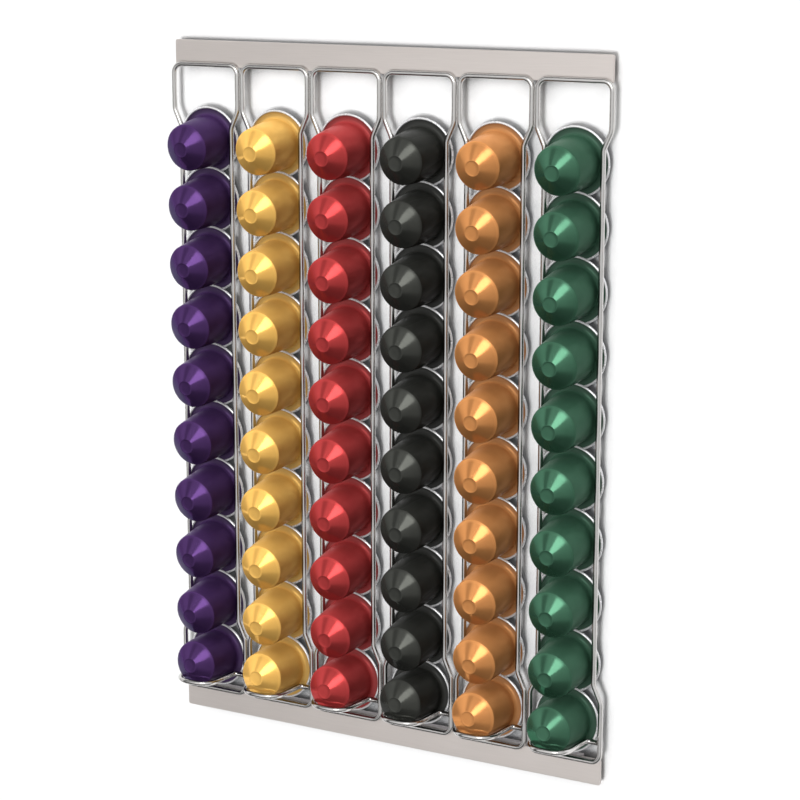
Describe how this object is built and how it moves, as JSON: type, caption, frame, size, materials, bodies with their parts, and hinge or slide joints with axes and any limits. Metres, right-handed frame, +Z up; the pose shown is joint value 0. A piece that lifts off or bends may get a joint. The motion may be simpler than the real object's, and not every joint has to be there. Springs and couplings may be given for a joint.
{
  "type": "coffee capsule holder",
  "caption": "Wall-held wire rack that stores coffee capsules in upright channels: loading windows at the top, bowed catch wires that cradle the lowest capsule at the bottom.",
  "frame": {"origin": "middle of the top bar's adhesive strip where it meets the wall", "axes": "+X to the right along the bars, +Y into the wall, +Z up along the channels"},
  "size_m": [0.2648, 0.0337, 0.3822],
  "materials": {
    "bar_steel": "satin",
    "wire_chrome": "polished",
    "strip_foam": "matte",
    "coffee": "matte",
    "lid_foil": "satin",
    "cup_violet": "gloss",
    "cup_gold": "gloss",
    "cup_red": "gloss",
    "cup_black": "gloss",
    "cup_copper": "gloss",
    "cup_green": "gloss"
  },
  "bodies": {
    "rack": {"top_bar": "bar_steel", "top_strip": "strip_foam", "bottom_bar": "bar_steel", "bottom_strip": "strip_foam", "channel_wire_1": "wire_chrome", "channel_wire_2": "wire_chrome", "channel_wire_3": "wire_chrome", "channel_wire_4": "wire_chrome", "channel_wire_5": "wire_chrome", "channel_wire_6": "wire_chrome", "catch_wire_1": "wire_chrome", "catch_wire_2": "wire_chrome", "catch_wire_3": "wire_chrome", "catch_wire_4": "wire_chrome", "catch_wire_5": "wire_chrome", "catch_wire_6": "wire_chrome"},
    "stack_violet": {"stack_cups_violet": "cup_violet", "stack_coffee_violet": "coffee", "stack_lids_violet": "lid_foil"},
    "top_violet": {"top_cup_violet": "cup_violet", "top_coffee_violet": "coffee", "top_lid_violet": "lid_foil"},
    "stack_gold": {"stack_cups_gold": "cup_gold", "stack_coffee_gold": "coffee", "stack_lids_gold": "lid_foil"},
    "top_gold": {"top_cup_gold": "cup_gold", "top_coffee_gold": "coffee", "top_lid_gold": "lid_foil"},
    "stack_red": {"stack_cups_red": "cup_red", "stack_coffee_red": "coffee", "stack_lids_red": "lid_foil"},
    "top_red": {"top_cup_red": "cup_red", "top_coffee_red": "coffee", "top_lid_red": "lid_foil"},
    "stack_black": {"stack_cups_black": "cup_black", "stack_coffee_black": "coffee", "stack_lids_black": "lid_foil"},
    "top_black": {"top_cup_black": "cup_black", "top_coffee_black": "coffee", "top_lid_black": "lid_foil"},
    "stack_copper": {"stack_cups_copper": "cup_copper", "stack_coffee_copper": "coffee", "stack_lids_copper": "lid_foil"},
    "top_copper": {"top_cup_copper": "cup_copper", "top_coffee_copper": "coffee", "top_lid_copper": "lid_foil"},
    "stack_green": {"stack_cups_green": "cup_green", "stack_coffee_green": "coffee", "stack_lids_green": "lid_foil"},
    "top_green": {"top_cup_green": "cup_green", "top_coffee_green": "coffee", "top_lid_green": "lid_foil"}
  },
  "joints": [
    {"name": "stack_lift_violet", "type": "slide", "parent": "rack", "child": "stack_violet", "axis": [0, 0, 1], "range_m": [0, 0.008]},
    {"name": "top_lift_violet", "type": "slide", "parent": "stack_violet", "child": "top_violet", "axis": [0, 0, 1], "range_m": [0, 0.013]},
    {"name": "stack_lift_gold", "type": "slide", "parent": "rack", "child": "stack_gold", "axis": [0, 0, 1], "range_m": [0, 0.008]},
    {"name": "top_lift_gold", "type": "slide", "parent": "stack_gold", "child": "top_gold", "axis": [0, 0, 1], "range_m": [0, 0.013]},
    {"name": "stack_lift_red", "type": "slide", "parent": "rack", "child": "stack_red", "axis": [0, 0, 1], "range_m": [0, 0.008]},
    {"name": "top_lift_red", "type": "slide", "parent": "stack_red", "child": "top_red", "axis": [0, 0, 1], "range_m": [0, 0.013]},
    {"name": "stack_lift_black", "type": "slide", "parent": "rack", "child": "stack_black", "axis": [0, 0, 1], "range_m": [0, 0.008]},
    {"name": "top_lift_black", "type": "slide", "parent": "stack_black", "child": "top_black", "axis": [0, 0, 1], "range_m": [0, 0.013]},
    {"name": "stack_lift_copper", "type": "slide", "parent": "rack", "child": "stack_copper", "axis": [0, 0, 1], "range_m": [0, 0.008]},
    {"name": "top_lift_copper", "type": "slide", "parent": "stack_copper", "child": "top_copper", "axis": [0, 0, 1], "range_m": [0, 0.013]},
    {"name": "stack_lift_green", "type": "slide", "parent": "rack", "child": "stack_green", "axis": [0, 0, 1], "range_m": [0, 0.008]},
    {"name": "top_lift_green", "type": "slide", "parent": "stack_green", "child": "top_green", "axis": [0, 0, 1], "range_m": [0, 0.013]}
  ]
}
